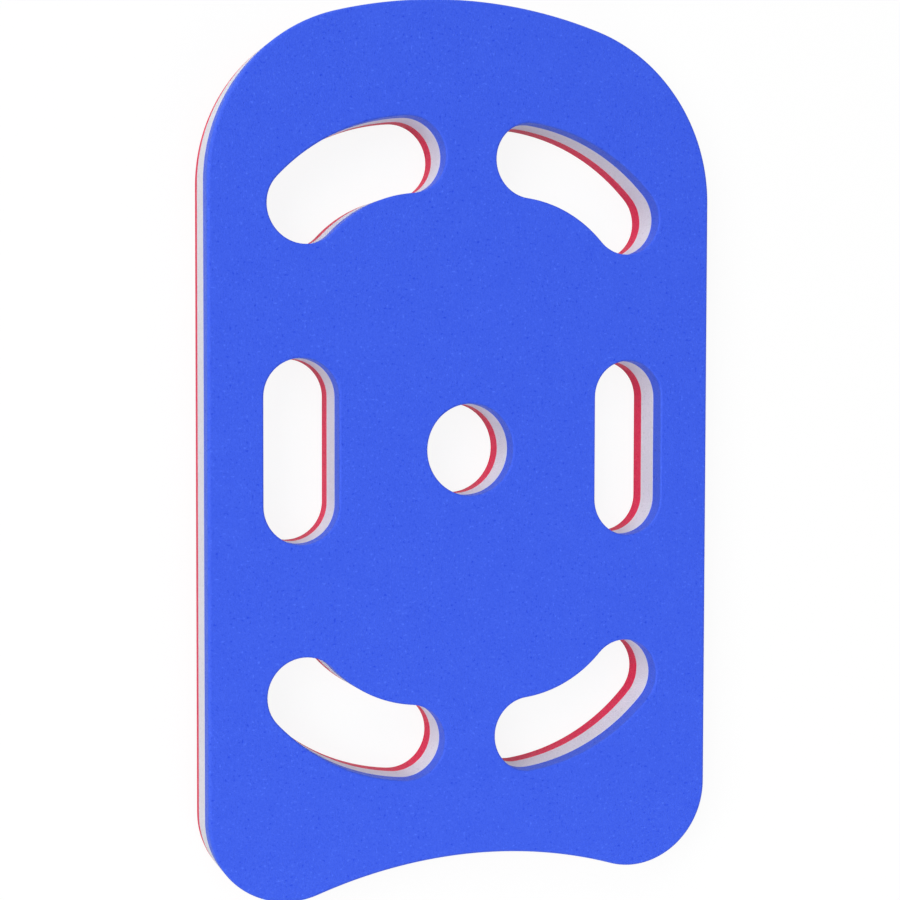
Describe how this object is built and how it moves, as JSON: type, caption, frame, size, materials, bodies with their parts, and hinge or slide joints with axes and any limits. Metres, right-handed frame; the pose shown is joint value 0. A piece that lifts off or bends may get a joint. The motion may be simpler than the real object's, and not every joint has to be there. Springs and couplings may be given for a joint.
{
  "type": "kickboard float",
  "caption": "Flat swimmer's kickboard of foam sheets welded face to face, with an arched end, a hollow between rounded feet, bent hand slots, upright side slots and a round centre hole.",
  "frame": {"origin": "on the axis of the centre hole, in the plane of the back face that the board lies on", "axes": "+Z out of the front face, +Y along the board toward its arched end, +X across the board"},
  "size_m": [0.29, 0.48, 0.035],
  "materials": {
    "blue_foam": "matte",
    "white_foam": "matte",
    "red_foam": "matte"
  },
  "bodies": {
    "root": {"front_sheet": "blue_foam", "core_sheet": "white_foam", "back_sheet": "red_foam"}
  },
  "joints": []
}
